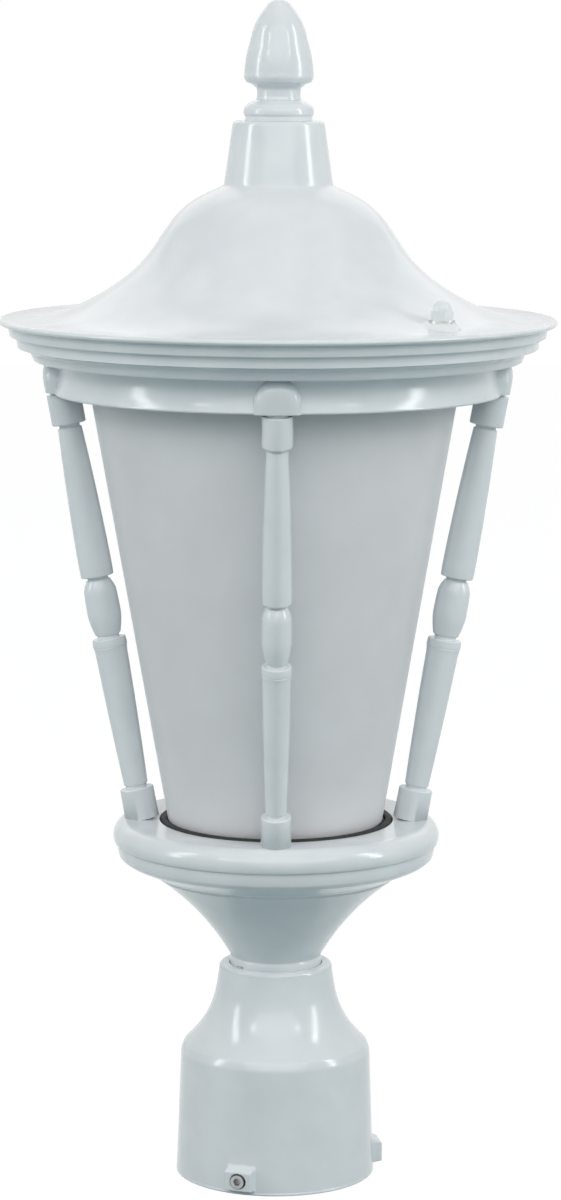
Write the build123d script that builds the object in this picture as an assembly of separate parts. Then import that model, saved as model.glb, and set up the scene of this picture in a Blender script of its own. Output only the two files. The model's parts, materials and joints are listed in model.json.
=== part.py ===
from build123d import *
from math import atan2, cos, degrees, hypot, pi, radians, sin, sqrt
import os

# Post top lantern in cast, white enamelled aluminium, for a three inch round post.
# Millimetres, +Z up. The origin is the centre of the fitter's bottom rim, and the front faces -Y.
# Azimuths are in degrees from the front, positive towards +X.

# ---- fits and clearances ---------------------------------------------------------------------
thread_fit = 0.05          # radial, between a thread and its hole, both drawn as plain cylinders
running_gap = 0.3          # between round faces of pieces that come apart
bolt_play = 0.4            # radial, a stud or screw in a clearance hole
edge_break = 0.6           # small rounding on cast edges

# ---- post fitter -----------------------------------------------------------------------------
post_d = 76.2              # outside diameter of the post that the lantern stands on
post_play = 0.45           # radial, post in the fitter
fitter_height = 92.0
fitter_rim_r = 42.7
fitter_shoulder_r = 40.3
fitter_shoulder_z = 53.5
fitter_flare_foot_z = 57.6  # where the shoulder's rounding meets the flare
fitter_flare_foot_r = 38.6
fitter_neck_r = 24.8
fitter_neck_z = 86.0
fitter_flare_bow = 2.5     # how far the flare is hollowed from its straight line
fitter_collar_round = 2.4
post_stop_z = 50.0         # the post's end butts against this ledge
post_stop_width = 2.4
fitter_throat_r = 21.0
fitter_crown = 7.0         # metal over the throat, under the pedestal
foot_recess = 1.5          # depth of the seat for the pedestal's foot
boss_azimuths = {"front": -20.0, "right": 100.0, "rear": 220.0}
boss_width = 11.8
boss_height = 10.4
boss_foot_z = 2.2
boss_face_r = 46.2
boss_slope = 2.6           # the boss's top falls away by this much at its face
set_screw_r = 2.9
set_screw_length = 7.8
set_screw_proud = 0.6
set_screw_socket = 3.0     # across flats
pin_r = 1.5
pin_length = 5.4
pin_proud = 0.6
pin_azimuth = -50.0

# ---- diffuser --------------------------------------------------------------------------------
lens_foot_r = 45.7
lens_top_r = 82.6
lens_height = 212.6
lens_wall = 2.6
lens_foot_round = 2.2

# ---- tray ------------------------------------------------------------------------------------
gasket_seat_r = lens_foot_r + 4.2
gasket_seat_depth = 2.6
gasket_inner_r = lens_foot_r - 2.4
gasket_base = 1.7
gasket_lip_width = 3.1
gasket_lip_rise = 0.8      # above the tray's top
tray_height = 23.3
tray_r = gasket_seat_r + 19.8
tray_edge_round = 6.6      # the full round of the tray's edge
tray_foot_r = lens_foot_r + 7.1
tray_band_low_r = tray_r - 3.1
tray_band_top_r = tray_r - 1.4
tray_band_low_z = 6.7      # above the tray's foot
tray_band_top_z = 14.4
tray_groove = 0.9
tray_top_wall = 5.6
tray_wall = 4.6
tray_floor = 4.3
well_r = gasket_inner_r - 8.8   # opening through the flanges of tray and pedestal

# ---- pedestal --------------------------------------------------------------------------------
pedestal_height = 41.0
pedestal_foot_r = 19.6
pedestal_foot_height = 4.5
pedestal_mouth_r = tray_foot_r - 1.6
pedestal_bow = 2.6         # the bell's hollow
pedestal_wall = 4.0
pedestal_floor = 6.0
flange_thickness = 5.0
flange_screw_r = 2.0
flange_screw_ring_r = well_r + 5.0   # of the screws' centres
flange_screw_azimuths = {"right": 60.0, "back": 180.0, "left": 300.0}

# ---- spindles --------------------------------------------------------------------------------
spindle_azimuths = {"front": 0.0, "right": 90.0, "back": 180.0, "left": 270.0}
spindle_foot_r = gasket_seat_r + 7.5   # of the four feet's centres, on the tray
spindle_oval = 0.87        # width across the radius over depth along it
spindle_collar_r = 7.25
spindle_collar_length = 13.4
spindle_neck_r = 4.3
spindle_neck_gap = 1.3
baluster_thin_r = 5.1
baluster_thick_r = 7.1
baluster_swell = 0.35
lower_baluster_length = 64.6
bead_length = 24.2
bead_r = 7.0
bead_low_r = 5.3
bead_high_r = 4.9
spindle_screw_r = 2.1
foot_screw_bite = 14.0
head_screw_bite = 12.0

# ---- cornice ring ----------------------------------------------------------------------------
cornice_height = 28.9
cornice_lift = 0.3         # of the frieze's foot, over the middle of the spindles' heads
# of the spindles' heads over their feet, so that the cornice ends level with the diffuser
spindle_rise = lens_height + gasket_base - gasket_seat_depth - cornice_lift - cornice_height
cornice_bore_r = lens_top_r + 2.6
cornice_deck = 4.2
frieze_r = cornice_bore_r + 9.1
frieze_hollow_r = frieze_r - 2.8
frieze_top_r = frieze_r - 2.3
frieze_height = 14.2
frieze_hollow_z = 5.4      # above the frieze's foot
frieze_wall = 3.9
band_one_r = frieze_r + 18.9
band_one_low_r = band_one_r - 0.6
band_one_height = 4.6
band_two_r = band_one_r - 1.9
band_two_low_r = band_two_r - 1.9
band_two_height = 4.1
band_two_bow = 0.4
band_three_r = frieze_r + 9.1
band_three_height = 2.6
cornice_cove = 0.5
cornice_step = 0.5
spindle_head_r = frieze_r - 3.9        # of the four spindles' heads, under the knuckles
knuckle_r = 9.75           # half its width, and the round of its top
knuckle_straight = 5.0
knuckle_face = 7.3         # from the spindle's axis out to the knuckle's face
knuckle_round = 3.2
knuckle_neck_r = 5.6       # the neck on which the spindle's head seats
knuckle_neck = 2.2
head_screw_column_r = 7.6
head_screw_sink = 4.4

# ---- roof ------------------------------------------------------------------------------------
roof_wall = 2.5
brim_r = band_one_r + 3.2
brim_lip_round = 1.25
brim_underside_r = band_one_r + 0.4
brim_seat_inner_r = cornice_bore_r + 4.0
gasket_land_z = 4.0        # above the cornice's top
gasket_land_inner_r = lens_top_r - 4.0
chimney_foot_r = 23.0
# the bell, from the brim's trough to the chimney's foot: (radius, height above the cornice's top)
roof_bell = (
    (brim_r - 8.4, 2.1),
    (brim_r - 26.4, 5.4),
    (brim_r - 43.4, 13.6),
    (brim_r - 61.1, 28.2),
    (brim_r - 71.3, 42.8),
    (brim_r - 79.0, 50.6),
    (chimney_foot_r, 58.1),
)
chimney_top_r = 19.1
chimney_height = 26.8
chimney_round = 1.8
chimney_bore_r = 15.5
chimney_crown = 5.0
cap_azimuths = {"right": 45.0, "left": 225.0}
cap_r = cornice_bore_r + 8.4   # of the cap nuts' centres from the axis
cap_pad_r = 6.3
cap_pad_z = 6.0            # above the cornice's top
stud_r = 2.5
stud_above_pad = 6.9
stud_bite = 6.0
cap_washer_r = 5.2
cap_washer_thickness = 1.0
cap_nut_flats = 8.0
cap_nut_hex_height = 3.6
cap_nut_height = 8.0
roof_gasket_width = 8.0

# ---- finial ----------------------------------------------------------------------------------
finial_collar_r = 14.7
finial_collar_step_r = 14.0
finial_collar_step = 2.0
finial_collar_height = 8.6
finial_neck_r = 9.1
finial_neck_height = 4.6
finial_bulb_r = 14.6
finial_bulb_z = 10.4       # of the widest line, above the collar
finial_height = 41.3
finial_tip_r = 5.6
finial_tip_drop = 3.4
finial_bow = 1.7
finial_stud_r = 4.0
finial_stud_reach = 26.0   # above the chimney
finial_stud_tail = 13.5
finial_nut_flats = 13.0
finial_nut_height = 6.0
finial_washer_r = 8.0
finial_washer_thickness = 1.5

# ---- lamp holder on its nipple ---------------------------------------------------------------
nipple_r = 4.8
nipple_bore_r = 3.2
nipple_length = 53.0
nipple_tail = 6.8          # below the fitter's crown
locknut_flats = 15.0
locknut_height = 4.0
lock_washer_r = 8.5
lock_washer_thickness = 1.6
bracket_length = 44.0
bracket_width = 16.0
bracket_thickness = 1.6
bracket_ear = 9.0          # turned down ends of the bracket
porcelain_r = 20.5
porcelain_height = 44.0
porcelain_foot_r = 17.0
porcelain_waist_height = 15.0
porcelain_base_bore_r = 10.6
porcelain_base_depth = 7.0
shell_r = 14.2
shell_wall = 0.5
shell_height = 30.0
holder_screw_r = 1.9
holder_screw_offset = 14.2
contact_width = 7.0
terminal_screw_r = 1.7
terminal_offset = 6.4
earth_screw_r = 2.0

# ---- lamp ------------------------------------------------------------------------------------
lamp_cap_r = 13.1
lamp_cap_height = 24.5
lamp_tip_r = 4.5
lamp_tip_height = 2.6
lamp_neck_r = 13.4
lamp_bulb_r = 30.0
lamp_bulb_z = 55.0         # of the widest line, above the cap
lamp_glass_height = 82.0
lamp_glass_wall = 1.0

# ---- levels worked out from the sizes above --------------------------------------------------
pedestal_z = fitter_height - foot_recess
tray_z = pedestal_z + pedestal_height
tray_top = tray_z + tray_height
gasket_z = tray_top - gasket_seat_depth
lens_z = gasket_z + gasket_base
lens_top = lens_z + lens_height
knuckle_z = tray_top + spindle_rise
deck_top = knuckle_z + cornice_lift + cornice_height
pad_top = deck_top + cap_pad_z
chimney_z = deck_top + roof_bell[-1][1]
chimney_top = chimney_z + chimney_height
finial_z = chimney_top + finial_collar_height
post_bore_r = post_d / 2 + post_play
crown_z = pedestal_z - fitter_crown
nipple_z = crown_z - nipple_tail
bracket_z = nipple_z + nipple_length - locknut_height - bracket_thickness
porcelain_z = bracket_z + bracket_thickness
spindle_lean = degrees(atan2(spindle_head_r - spindle_foot_r, spindle_rise))
spindle_length = hypot(spindle_head_r - spindle_foot_r, spindle_rise)


# ---- drawing helpers -------------------------------------------------------------------------
def outline(*corners):
    """Face inside a closed chain of (r, z) corners. A third number bows the run that ends there,
    to the left of its travel, by so many millimetres at its middle."""
    edges = []
    here = corners[-1]
    for corner in corners:
        run = (corner[0] - here[0], corner[1] - here[1])
        bow = corner[2] if len(corner) > 2 else 0.0
        if bow:
            reach = hypot(*run)
            middle = (here[0] + run[0] / 2 - run[1] / reach * bow, here[1] + run[1] / 2 + run[0] / reach * bow)
            edges.append(ThreePointArc(here[:2], middle, corner[:2]))
        else:
            edges.append(Line(here[:2], corner[:2]))
        here = corner
    return make_face(edges)


def crown(radius, low, high):
    """Corner at the pole of a spherical cap that rises from a rim of this radius."""
    rise = abs(high - low)
    ball = (radius**2 + rise**2) / (2 * rise)
    return 0, high, -(ball - sqrt(ball**2 - (radius**2 + rise**2) / 4))


def turned(*corners):
    """Solid of revolution about Z of an outline in (r, z)."""
    return revolve(Plane.XZ * outline(*corners), Axis.Z)


def rod(radius, low, high):
    """Upright cylinder between two heights."""
    return Pos(0, 0, low) * extrude(Circle(radius), high - low)


def tube(outer, inner, low, high):
    """Upright ring between two heights."""
    return rod(outer, low, high) - rod(inner, low, high)


def hexagon(across_flats, low, high):
    """Upright hexagonal prism between two heights."""
    return Pos(0, 0, low) * extrude(RegularPolygon(across_flats / sqrt(3), 6), high - low)


def around(azimuth, shape):
    """A shape drawn at the front, carried round the axis to an azimuth."""
    return Rot(Z=azimuth) * shape


def round_about(azimuths, shape):
    """Copies of a shape drawn at the front, one for each named azimuth."""
    return [around(azimuth, shape) for azimuth in azimuths.values()]


def pan_screw(radius, length, head_r, head_height):
    """Round headed screw, its shank running down from the origin and its head above."""
    head = turned((0, 0), (head_r, 0), (head_r * 0.55, head_height, -head_height * 0.18), (0, head_height))
    slot = Pos(0, 0, head_height) * Box(head_r * 2, head_r * 0.28, head_height * 0.9)
    return head + rod(radius, -length, 0) - slot


def along_spindle(distance):
    """Frame on the front spindle's axis, at a distance from its foot, Z along the axis."""
    return Pos(0, -spindle_foot_r, tray_top) * Rot(X=spindle_lean) * Pos(0, 0, distance)


# ---- fitter ----------------------------------------------------------------------------------
def fitter():
    """Cast post cap: bell outline, post bore with its stop ledge, three set screw bosses."""
    collar_z = fitter_height - fitter_collar_round
    body = turned(
        (0, 0),
        (fitter_rim_r - edge_break, 0),
        (fitter_rim_r, edge_break),
        (fitter_shoulder_r, fitter_shoulder_z),
        (fitter_flare_foot_r, fitter_flare_foot_z, -0.6),
        (fitter_neck_r, fitter_neck_z, fitter_flare_bow),
        (fitter_neck_r - edge_break, collar_z),
        (fitter_neck_r - edge_break - fitter_collar_round, fitter_height, -fitter_collar_round * 0.29),
        (0, fitter_height),
    )
    stop_r = post_bore_r - post_stop_width
    hollow = turned(
        (0, 0),
        (post_bore_r, 0),
        (post_bore_r, post_stop_z),
        (stop_r, post_stop_z),
        (stop_r, post_stop_z + 5.0),
        (fitter_throat_r, crown_z, fitter_flare_bow * 0.6),
        (0, crown_z),
    )
    tapped = radial_rod(set_screw_r + thread_fit, post_bore_r - 3, boss_face_r + 3)
    body = body.fuse(*round_about(boss_azimuths, boss()))
    return body.cut(
        hollow,
        rod(pedestal_foot_r + running_gap, pedestal_z, fitter_height + 1),
        rod(nipple_r + bolt_play, crown_z - 1, pedestal_z + 1),
        around(pin_azimuth, pin(thread_fit)),
        *round_about(boss_azimuths, tapped),
    )


def boss():
    """Square pad at the front that carries a set screw; its top slopes like a weather sill."""
    side = Polyline(
        (post_bore_r + 1, boss_foot_z),
        (boss_face_r, boss_foot_z),
        (boss_face_r, boss_foot_z + boss_height - boss_slope),
        (post_bore_r + 1, boss_foot_z + boss_height),
        close=True,
    )
    pad = extrude(Plane.YZ * (Rot(Y=180) * make_face(side)), boss_width / 2, both=True)
    return fillet(pad.edges().filter_by(Axis.Z).sort_by(Axis.Y)[:2], 1.6)


def radial_rod(radius, near, far):
    """Cylinder on the radius that points to the front, at the set screws' height."""
    height = boss_foot_z + (boss_height - boss_slope) / 2 + 0.6
    return Pos(0, -near, height) * Rot(X=90) * rod(radius, 0, far - near)


def set_screw():
    """Socket set screw with a cup point, backed off so that the post can pass."""
    tip = boss_face_r + set_screw_proud
    screw = radial_rod(set_screw_r, tip - set_screw_length, tip)
    height = screw.center().Z
    socket = Pos(0, -tip, height) * Rot(X=-90) * hexagon(set_screw_socket, 0, 3.0)
    return screw - socket


def pin(extra=0.0):
    """Locating pin, half in the fitter's collar and half in the pedestal's foot."""
    top = fitter_height + pin_proud
    return Pos(0, -pedestal_foot_r - running_gap, 0) * rod(pin_r + extra, top - pin_length - extra, top + extra)


# ---- pedestal and tray -----------------------------------------------------------------------
def pedestal():
    """Bell shaped bowl: rounded foot, hollow flare, flange under the tray."""
    foot_top = pedestal_z + pedestal_foot_height
    rim_z = tray_z - 1.0
    body = turned(
        (0, pedestal_z),
        (pedestal_foot_r - 1.2, pedestal_z),
        (pedestal_foot_r, pedestal_z + 1.2, -0.3),
        (pedestal_foot_r, foot_top - 1.2),
        (pedestal_foot_r - 0.3, foot_top),
        (pedestal_mouth_r, rim_z, pedestal_bow),
        (pedestal_mouth_r, tray_z),
        (0, tray_z),
    )
    floor_z = pedestal_z + pedestal_floor
    ceiling_z = tray_z - flange_thickness
    cavity = turned(
        (0, floor_z),
        (pedestal_foot_r - pedestal_wall, floor_z),
        (pedestal_mouth_r - pedestal_wall - flange_thickness, ceiling_z, pedestal_bow),
        (well_r, ceiling_z),
        (well_r, tray_z + 1),
        (0, tray_z + 1),
    )
    tapped = Pos(0, -flange_screw_ring_r, 0) * rod(flange_screw_r + thread_fit, ceiling_z - 1, tray_z + 1)
    return body.cut(
        cavity,
        rod(nipple_r + bolt_play, pedestal_z - 1, floor_z + 1),
        around(pin_azimuth, pin(thread_fit)),
        *round_about(flange_screw_azimuths, tapped),
    )


def tray():
    """Drip tray: full round edge over a lower band, with the diffuser's seat and a screw flange."""
    edge_r = tray_r - tray_edge_round
    edge_z = tray_top - tray_edge_round
    band_low = tray_z + tray_band_low_z
    band_top = tray_z + tray_band_top_z
    round_low_r = tray_r - 0.5
    round_low_z = edge_z - 1.6
    body = turned(
        (0, tray_z),
        (tray_foot_r, tray_z),
        (tray_band_low_r - 1.4, band_low - 0.7),
        (tray_band_low_r, band_low, -0.25),
        (tray_band_top_r, band_top, -0.35),
        (tray_band_top_r - tray_groove, band_top + 0.3),
        (tray_band_top_r - tray_groove, round_low_z),
        (round_low_r, round_low_z),
        (tray_r, edge_z, -0.15),
        (edge_r, tray_top, -tray_edge_round * 0.293),
        (0, tray_top),
    )
    ceiling_z = tray_top - tray_top_wall
    floor_z = tray_z + tray_floor
    wall_r = tray_band_low_r - tray_wall
    body -= turned(
        (0, tray_z - 1),
        (well_r, tray_z - 1),
        (well_r, floor_z),
        (tray_foot_r - tray_wall, floor_z),
        (wall_r, band_low + tray_wall * 0.6),
        (wall_r, ceiling_z - 2),
        (wall_r - 2, ceiling_z),
        (gasket_inner_r, ceiling_z),
        (gasket_inner_r, gasket_z),
        (gasket_seat_r, gasket_z),
        (gasket_seat_r, tray_top + 1),
        (0, tray_top + 1),
    )
    foot_hole = along_spindle(-tray_top_wall) * rod(spindle_screw_r + bolt_play, -4, tray_top_wall + 4)
    flange_hole = Pos(0, -flange_screw_ring_r, 0) * rod(flange_screw_r + bolt_play, tray_z - 1, floor_z + 1)
    return body.cut(*round_about(spindle_azimuths, foot_hole), *round_about(flange_screw_azimuths, flange_hole))


def flange_screws():
    """Three pan head screws that hold the tray down on the pedestal."""
    screw = pan_screw(flange_screw_r, tray_floor + flange_thickness - 0.5, 3.7, 2.6)
    return round_about(flange_screw_azimuths, Pos(0, -flange_screw_ring_r, tray_z + tray_floor) * screw)


def lens_gasket():
    """Black seal in the tray: a flat base under the diffuser and a crowned lip round it."""
    outer = gasket_seat_r - running_gap
    lip_r = outer - gasket_lip_width
    top = tray_top + gasket_lip_rise
    return turned(
        (gasket_inner_r + running_gap, gasket_z),
        (outer, gasket_z),
        (outer, top - 0.6),
        (lip_r, top - 0.6, -0.5),
        (lip_r, lens_z),
        (gasket_inner_r + running_gap, lens_z),
    )


# ---- diffuser --------------------------------------------------------------------------------
def lens():
    """Satin diffuser: one conical shell, open at both ends, rolled in at its foot."""
    slope = (lens_top_r - lens_foot_r) / lens_height
    bend_z = lens_z + lens_foot_round
    bend_r = lens_foot_r + slope * lens_foot_round
    return turned(
        (lens_foot_r - lens_wall, lens_z),
        (lens_foot_r - lens_foot_round * 0.7, lens_z),
        (bend_r, bend_z, -lens_foot_round * 0.25),
        (lens_top_r, lens_top),
        (lens_top_r - lens_wall, lens_top),
        (bend_r - lens_wall, bend_z),
    )


# ---- spindles --------------------------------------------------------------------------------
def spindle():
    """Baluster at the front: collar, long vase, bead, long vase, collar, mitred to the tray."""
    lower_z = spindle_collar_length + spindle_neck_gap
    bead_z = lower_z + lower_baluster_length + spindle_neck_gap
    upper_z = bead_z + bead_length + spindle_neck_gap
    head_z = spindle_length - spindle_collar_length
    upper_end = head_z - spindle_neck_gap
    collar = spindle_collar_r
    body = turned(
        (0, -3),
        (collar, -3),
        (collar, spindle_collar_length - edge_break),
        (collar - edge_break, spindle_collar_length),
        (spindle_neck_r, spindle_collar_length),
        (spindle_neck_r, lower_z),
        (baluster_thin_r, lower_z + 0.8),
        (baluster_thick_r, lower_z + lower_baluster_length - edge_break, -baluster_swell),
        (baluster_thick_r - edge_break, lower_z + lower_baluster_length),
        (spindle_neck_r, lower_z + lower_baluster_length),
        (spindle_neck_r, bead_z),
        (bead_low_r, bead_z + 0.6),
        (bead_high_r, bead_z + bead_length - 0.6, -(bead_r - (bead_low_r + bead_high_r) / 2)),
        (spindle_neck_r, bead_z + bead_length),
        (spindle_neck_r, upper_z),
        (baluster_thick_r - edge_break, upper_z),
        (baluster_thick_r, upper_z + edge_break),
        (baluster_thin_r, upper_end - 0.8, -baluster_swell),
        (spindle_neck_r, upper_end),
        (spindle_neck_r, head_z),
        (collar - edge_break, head_z),
        (collar, head_z + edge_break),
        (collar, spindle_length),
        (0, spindle_length),
    )
    body = scale(body, by=(spindle_oval, 1, 1))
    body -= rod(spindle_screw_r + thread_fit, -4, foot_screw_bite)
    body -= rod(spindle_screw_r + thread_fit, spindle_length - head_screw_bite, spindle_length + 1)
    body = along_spindle(0) * body
    return body & Pos(0, 0, tray_top) * rod(2 * spindle_head_r, 0, 2 * spindle_rise)


def foot_screws():
    """Four screws from inside the tray into the spindles' feet, square to the lean."""
    reach = tray_top_wall + spindle_collar_r * sin(radians(spindle_lean))
    screw = pan_screw(spindle_screw_r, reach + foot_screw_bite - 1.0, 4.0, 2.8)
    return round_about(spindle_azimuths, along_spindle(-reach) * Rot(X=180) * screw)


def head_screw_seat():
    """Distance along the spindle's axis of the seat that the head screw's head sits on."""
    return (deck_top - head_screw_sink - tray_top) / cos(radians(spindle_lean))


def head_screws():
    """Four screws down through the cornice's knuckles into the spindles' heads."""
    seat = head_screw_seat()
    screw = pan_screw(spindle_screw_r, seat - spindle_length + head_screw_bite - 1.0, 4.0, 2.8)
    return round_about(spindle_azimuths, along_spindle(seat) * screw)


# ---- cornice ---------------------------------------------------------------------------------
def cornice():
    """Stepped ring under the roof: three mouldings over a hollow frieze, four spindle knuckles."""
    base = deck_top - cornice_height
    frieze_top = base + frieze_height
    three_low = frieze_top + cornice_step
    three_top = three_low + band_three_height
    one_low = deck_top - band_one_height
    two_top = one_low - cornice_step
    two_low = two_top - band_two_height
    inner = frieze_hollow_r - frieze_wall
    body = turned(
        (cornice_bore_r, deck_top),
        (cornice_bore_r, deck_top - cornice_deck),
        (inner + 2.5, deck_top - cornice_deck),
        (inner + 2.5, frieze_top),
        (inner, frieze_top - 2.5),
        (inner, base),
        (frieze_r - edge_break, base),
        (frieze_r, base + edge_break),
        (frieze_hollow_r, base + frieze_hollow_z, 0.6),
        (frieze_top_r, frieze_top, 0.4),
        (band_three_r - edge_break, frieze_top),
        (band_three_r - edge_break, three_low),
        (band_three_r, three_low, -0.1),
        (band_three_r + edge_break, three_top),
        (band_two_low_r, two_low, cornice_cove),
        (band_two_r, two_top, -band_two_bow),
        (band_two_r, one_low),
        (band_one_low_r, one_low),
        (band_one_r, deck_top),
    )
    body = body.fuse(*round_about(spindle_azimuths, knuckle()))
    body = body.cut(*round_about(spindle_azimuths, knuckle_cutter()))
    seat = Pos(0, -cap_r, 0) * rod(5.0, deck_top - stud_bite - 1.5, deck_top - cornice_deck + 0.5)
    hole = Pos(0, -cap_r, 0) * rod(stud_r + thread_fit, deck_top - stud_bite, deck_top + 1)
    return body.fuse(*round_about(cap_azimuths, seat)).cut(*round_about(cap_azimuths, hole))


def knuckle_cutter():
    """Seat of the front spindle's head, with the head screw's hole and the sink for its head."""
    reach = head_screw_seat() - spindle_length
    seat = rod(spindle_collar_r + edge_break, -spindle_collar_length, 0)
    shank = rod(spindle_screw_r + bolt_play, -2, reach + 1)
    sink = rod(4.0 + bolt_play, reach, reach + 12)
    return along_spindle(spindle_length) * (seat + shank + sink)


def knuckle():
    """Boss at the front that leans with the spindle: flat foot, half round top, rounded face, and
    behind it a column for the head screw, necked where the spindle's head seats."""
    height = head_screw_seat() - spindle_length
    foot = -2 * knuckle_round
    shield = Pos(0, (knuckle_straight + foot) / 2) * Rectangle(2 * knuckle_r, knuckle_straight - foot)
    shield += Pos(0, knuckle_straight) * Circle(knuckle_r)
    boss_depth = knuckle_face + knuckle_neck_r
    block = Pos(0, knuckle_neck_r, 0) * extrude(Plane.XZ * shield, boss_depth)
    block = fillet(block.edges().group_by(Axis.Y)[0], knuckle_round)
    block = along_spindle(spindle_length) * block
    block -= rod(frieze_hollow_r - frieze_wall + 1, knuckle_z - cornice_height, deck_top)
    block -= rod(2 * spindle_head_r, knuckle_z - cornice_height, deck_top - cornice_height)
    neck = rod(knuckle_neck_r, -2, knuckle_neck + 1)
    column = rod(head_screw_column_r, knuckle_neck, height + 2.5)
    return block + along_spindle(spindle_length) * (neck + column)


def studs():
    """Two studs that stand on the cornice and hold the roof down."""
    stud = Pos(0, -cap_r, 0) * rod(stud_r, deck_top - stud_bite, pad_top + stud_above_pad)
    return round_about(cap_azimuths, stud)


# ---- roof ------------------------------------------------------------------------------------
def bell_curve(inset):
    """The roof's bell line as a smooth curve, drawn in by a wall that thins towards the brim."""
    points = [(r - inset * 0.8, deck_top + z - inset * 0.75) for r, z in roof_bell]
    return Spline(points, tangents=[(-1, 0), (-1, 0.5)])


def roof():
    """Bell roof with an upturned brim, a tapered chimney and two pads for the cap nuts."""
    lip_z = deck_top + brim_lip_round
    lip_top = lip_z + brim_lip_round
    bell = bell_curve(0)
    brim_top = bell @ 0
    skin = [
        Line((0, deck_top), (brim_underside_r, deck_top)),
        Line((brim_underside_r, deck_top), (brim_r, lip_z - brim_lip_round * 0.8)),
        ThreePointArc(
            (brim_r, lip_z - brim_lip_round * 0.8),
            (brim_r + brim_lip_round, lip_z),
            (brim_r, lip_top),
        ),
        Spline((brim_r, lip_top), (brim_top.X, brim_top.Y), tangents=[(-1, -0.12), (-1, 0)]),
        bell,
        Line((roof_bell[-1][0], chimney_z), (chimney_top_r, chimney_top - chimney_round)),
        ThreePointArc(
            (chimney_top_r, chimney_top - chimney_round),
            (chimney_top_r - chimney_round * 0.3, chimney_top - chimney_round * 0.3),
            (chimney_top_r - chimney_round, chimney_top),
        ),
        Line((chimney_top_r - chimney_round, chimney_top), (0, chimney_top)),
        Line((0, chimney_top), (0, deck_top)),
    ]
    body = revolve(Plane.XZ * make_face(skin), Axis.Z)
    pad = Pos(0, -cap_r, 0) * rod(cap_pad_r, deck_top + brim_lip_round, pad_top)
    clear = Pos(0, -cap_r, 0) * rod(cap_pad_r, pad_top, pad_top + 12)
    hole = Pos(0, -cap_r, 0) * rod(stud_r + bolt_play, deck_top - 1, pad_top + 1)
    body = body.fuse(*round_about(cap_azimuths, pad))
    return body.cut(
        roof_hollow(),
        rod(finial_stud_r + thread_fit, chimney_top - chimney_crown - 1, chimney_top + 1),
        *round_about(cap_azimuths, clear),
        *round_about(cap_azimuths, hole),
    )


def roof_hollow():
    """The space under the roof: brim seat, gasket land, bell and chimney bore."""
    inner = bell_curve(roof_wall)
    land_z = deck_top + gasket_land_z
    bell_low = inner @ 0
    bell_high = inner @ 1
    band = rod(brim_seat_inner_r, deck_top - 1, land_z)
    under_bell = make_face(
        [
            Line((0, bell_low.Y), (bell_low.X, bell_low.Y)),
            inner,
            Line((bell_high.X, bell_high.Y), (0, bell_high.Y)),
            Line((0, bell_high.Y), (0, bell_low.Y)),
        ]
    )
    bell = revolve(Plane.XZ * under_bell, Axis.Z) & rod(gasket_land_inner_r, land_z, chimney_top)
    chimney = rod(chimney_bore_r, chimney_z - 6, chimney_top - chimney_crown)
    return band + bell + chimney


def roof_gasket():
    """Foam ring glued under the roof; it presses on the diffuser's top edge."""
    middle = lens_top_r - lens_wall / 2
    half = roof_gasket_width / 2
    return tube(middle + half, middle - half, lens_top, deck_top + gasket_land_z)


def cap_washer():
    """Plain washer under a cap nut."""
    hole = stud_r + bolt_play
    return Pos(0, -cap_r, 0) * tube(cap_washer_r, hole, pad_top, pad_top + cap_washer_thickness)


def cap_nut():
    """Domed cap nut with a blind thread."""
    low = pad_top + cap_washer_thickness
    shoulder = low + cap_nut_hex_height
    dome_r = cap_nut_flats / 2
    dome = turned(
        (0, shoulder - 0.5),
        (dome_r * 0.96, shoulder - 0.5),
        (dome_r * 0.96, shoulder + 0.6),
        crown(dome_r * 0.96, shoulder + 0.6, low + cap_nut_height),
    )
    nut = hexagon(cap_nut_flats, low, shoulder) + dome
    nut -= rod(stud_r + thread_fit, low - 1, low + cap_nut_height - 1.6)
    return Pos(0, -cap_r, 0) * nut


# ---- finial ----------------------------------------------------------------------------------
def finial_collar():
    """Stepped ring between the chimney and the finial."""
    step_top = chimney_top + finial_collar_step
    ring_top = finial_z - 2.6
    return turned(
        (finial_stud_r + bolt_play, chimney_top),
        (finial_collar_step_r, chimney_top),
        (finial_collar_step_r, step_top),
        (finial_collar_r, step_top + 0.5),
        (finial_collar_r, ring_top - 1.0),
        (finial_collar_r - 1.8, ring_top + 0.9, -0.6),
        (finial_neck_r + 0.9, finial_z),
        (finial_stud_r + bolt_play, finial_z),
    )


def finial():
    """Acorn finial on a waisted neck, tapped for the stud."""
    wide_z = finial_z + finial_bulb_z
    tip_top = finial_z + finial_height
    tip_z = tip_top - finial_tip_drop
    body = turned(
        (0, finial_z),
        (finial_neck_r + 0.3, finial_z),
        (finial_neck_r, finial_z + 1.2),
        (finial_neck_r, finial_z + finial_neck_height),
        (finial_bulb_r - 1.2, wide_z - 3.1, 0.5),
        (finial_bulb_r, wide_z - 1.6, -0.2),
        (finial_bulb_r, wide_z),
        (finial_tip_r, tip_z, -finial_bow),
        crown(finial_tip_r, tip_z, tip_top),
    )
    return body - rod(finial_stud_r + thread_fit, finial_z - 1, chimney_top + finial_stud_reach + 1.5)


def finial_stud():
    """Threaded rod through the chimney's crown."""
    return rod(finial_stud_r, chimney_top - finial_stud_tail, chimney_top + finial_stud_reach)


def finial_washer():
    """Plain washer inside the chimney."""
    top = chimney_top - chimney_crown
    return tube(finial_washer_r, finial_stud_r + bolt_play, top - finial_washer_thickness, top)


def finial_nut():
    """Nut that holds the stud from inside the chimney."""
    top = chimney_top - chimney_crown - finial_washer_thickness
    nut = hexagon(finial_nut_flats, top - finial_nut_height, top)
    return nut - rod(finial_stud_r + thread_fit, top - finial_nut_height - 1, top + 1)


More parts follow.
